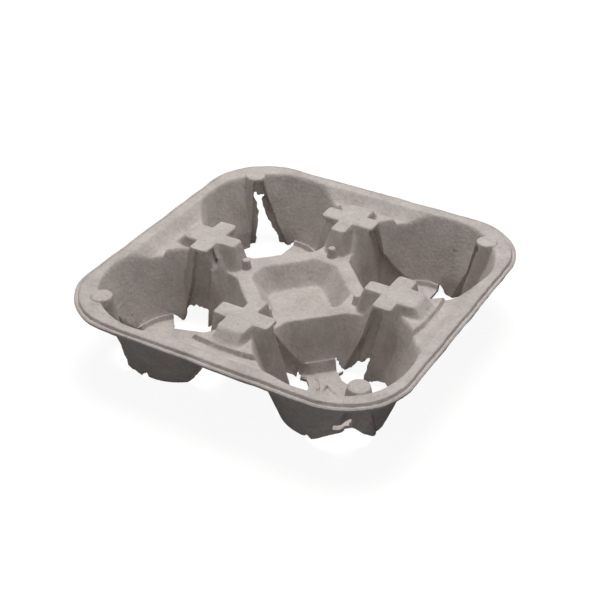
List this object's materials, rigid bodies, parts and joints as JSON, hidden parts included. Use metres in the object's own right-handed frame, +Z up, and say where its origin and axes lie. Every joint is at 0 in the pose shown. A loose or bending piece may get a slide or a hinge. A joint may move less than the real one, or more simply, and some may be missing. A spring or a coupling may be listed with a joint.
{
  "type": "moulded pulp cup carrier",
  "caption": "Square moulded paper-pulp drinks carrier with slotted round cup pockets, cross-topped posts and a recessed middle deck.",
  "frame": {"origin": "middle of the outline, on the surface that the carrier stands on", "axes": "+X and +Y towards two neighbouring sides of the square, +Z up through the mouths of the pockets"},
  "size_m": [0.216, 0.216, 0.0508],
  "materials": {
    "moulded_pulp": "dry, matt and slightly rough, as moulded paper pulp"
  },
  "bodies": {
    "root": {"carrier": "moulded_pulp"}
  },
  "joints": []
}
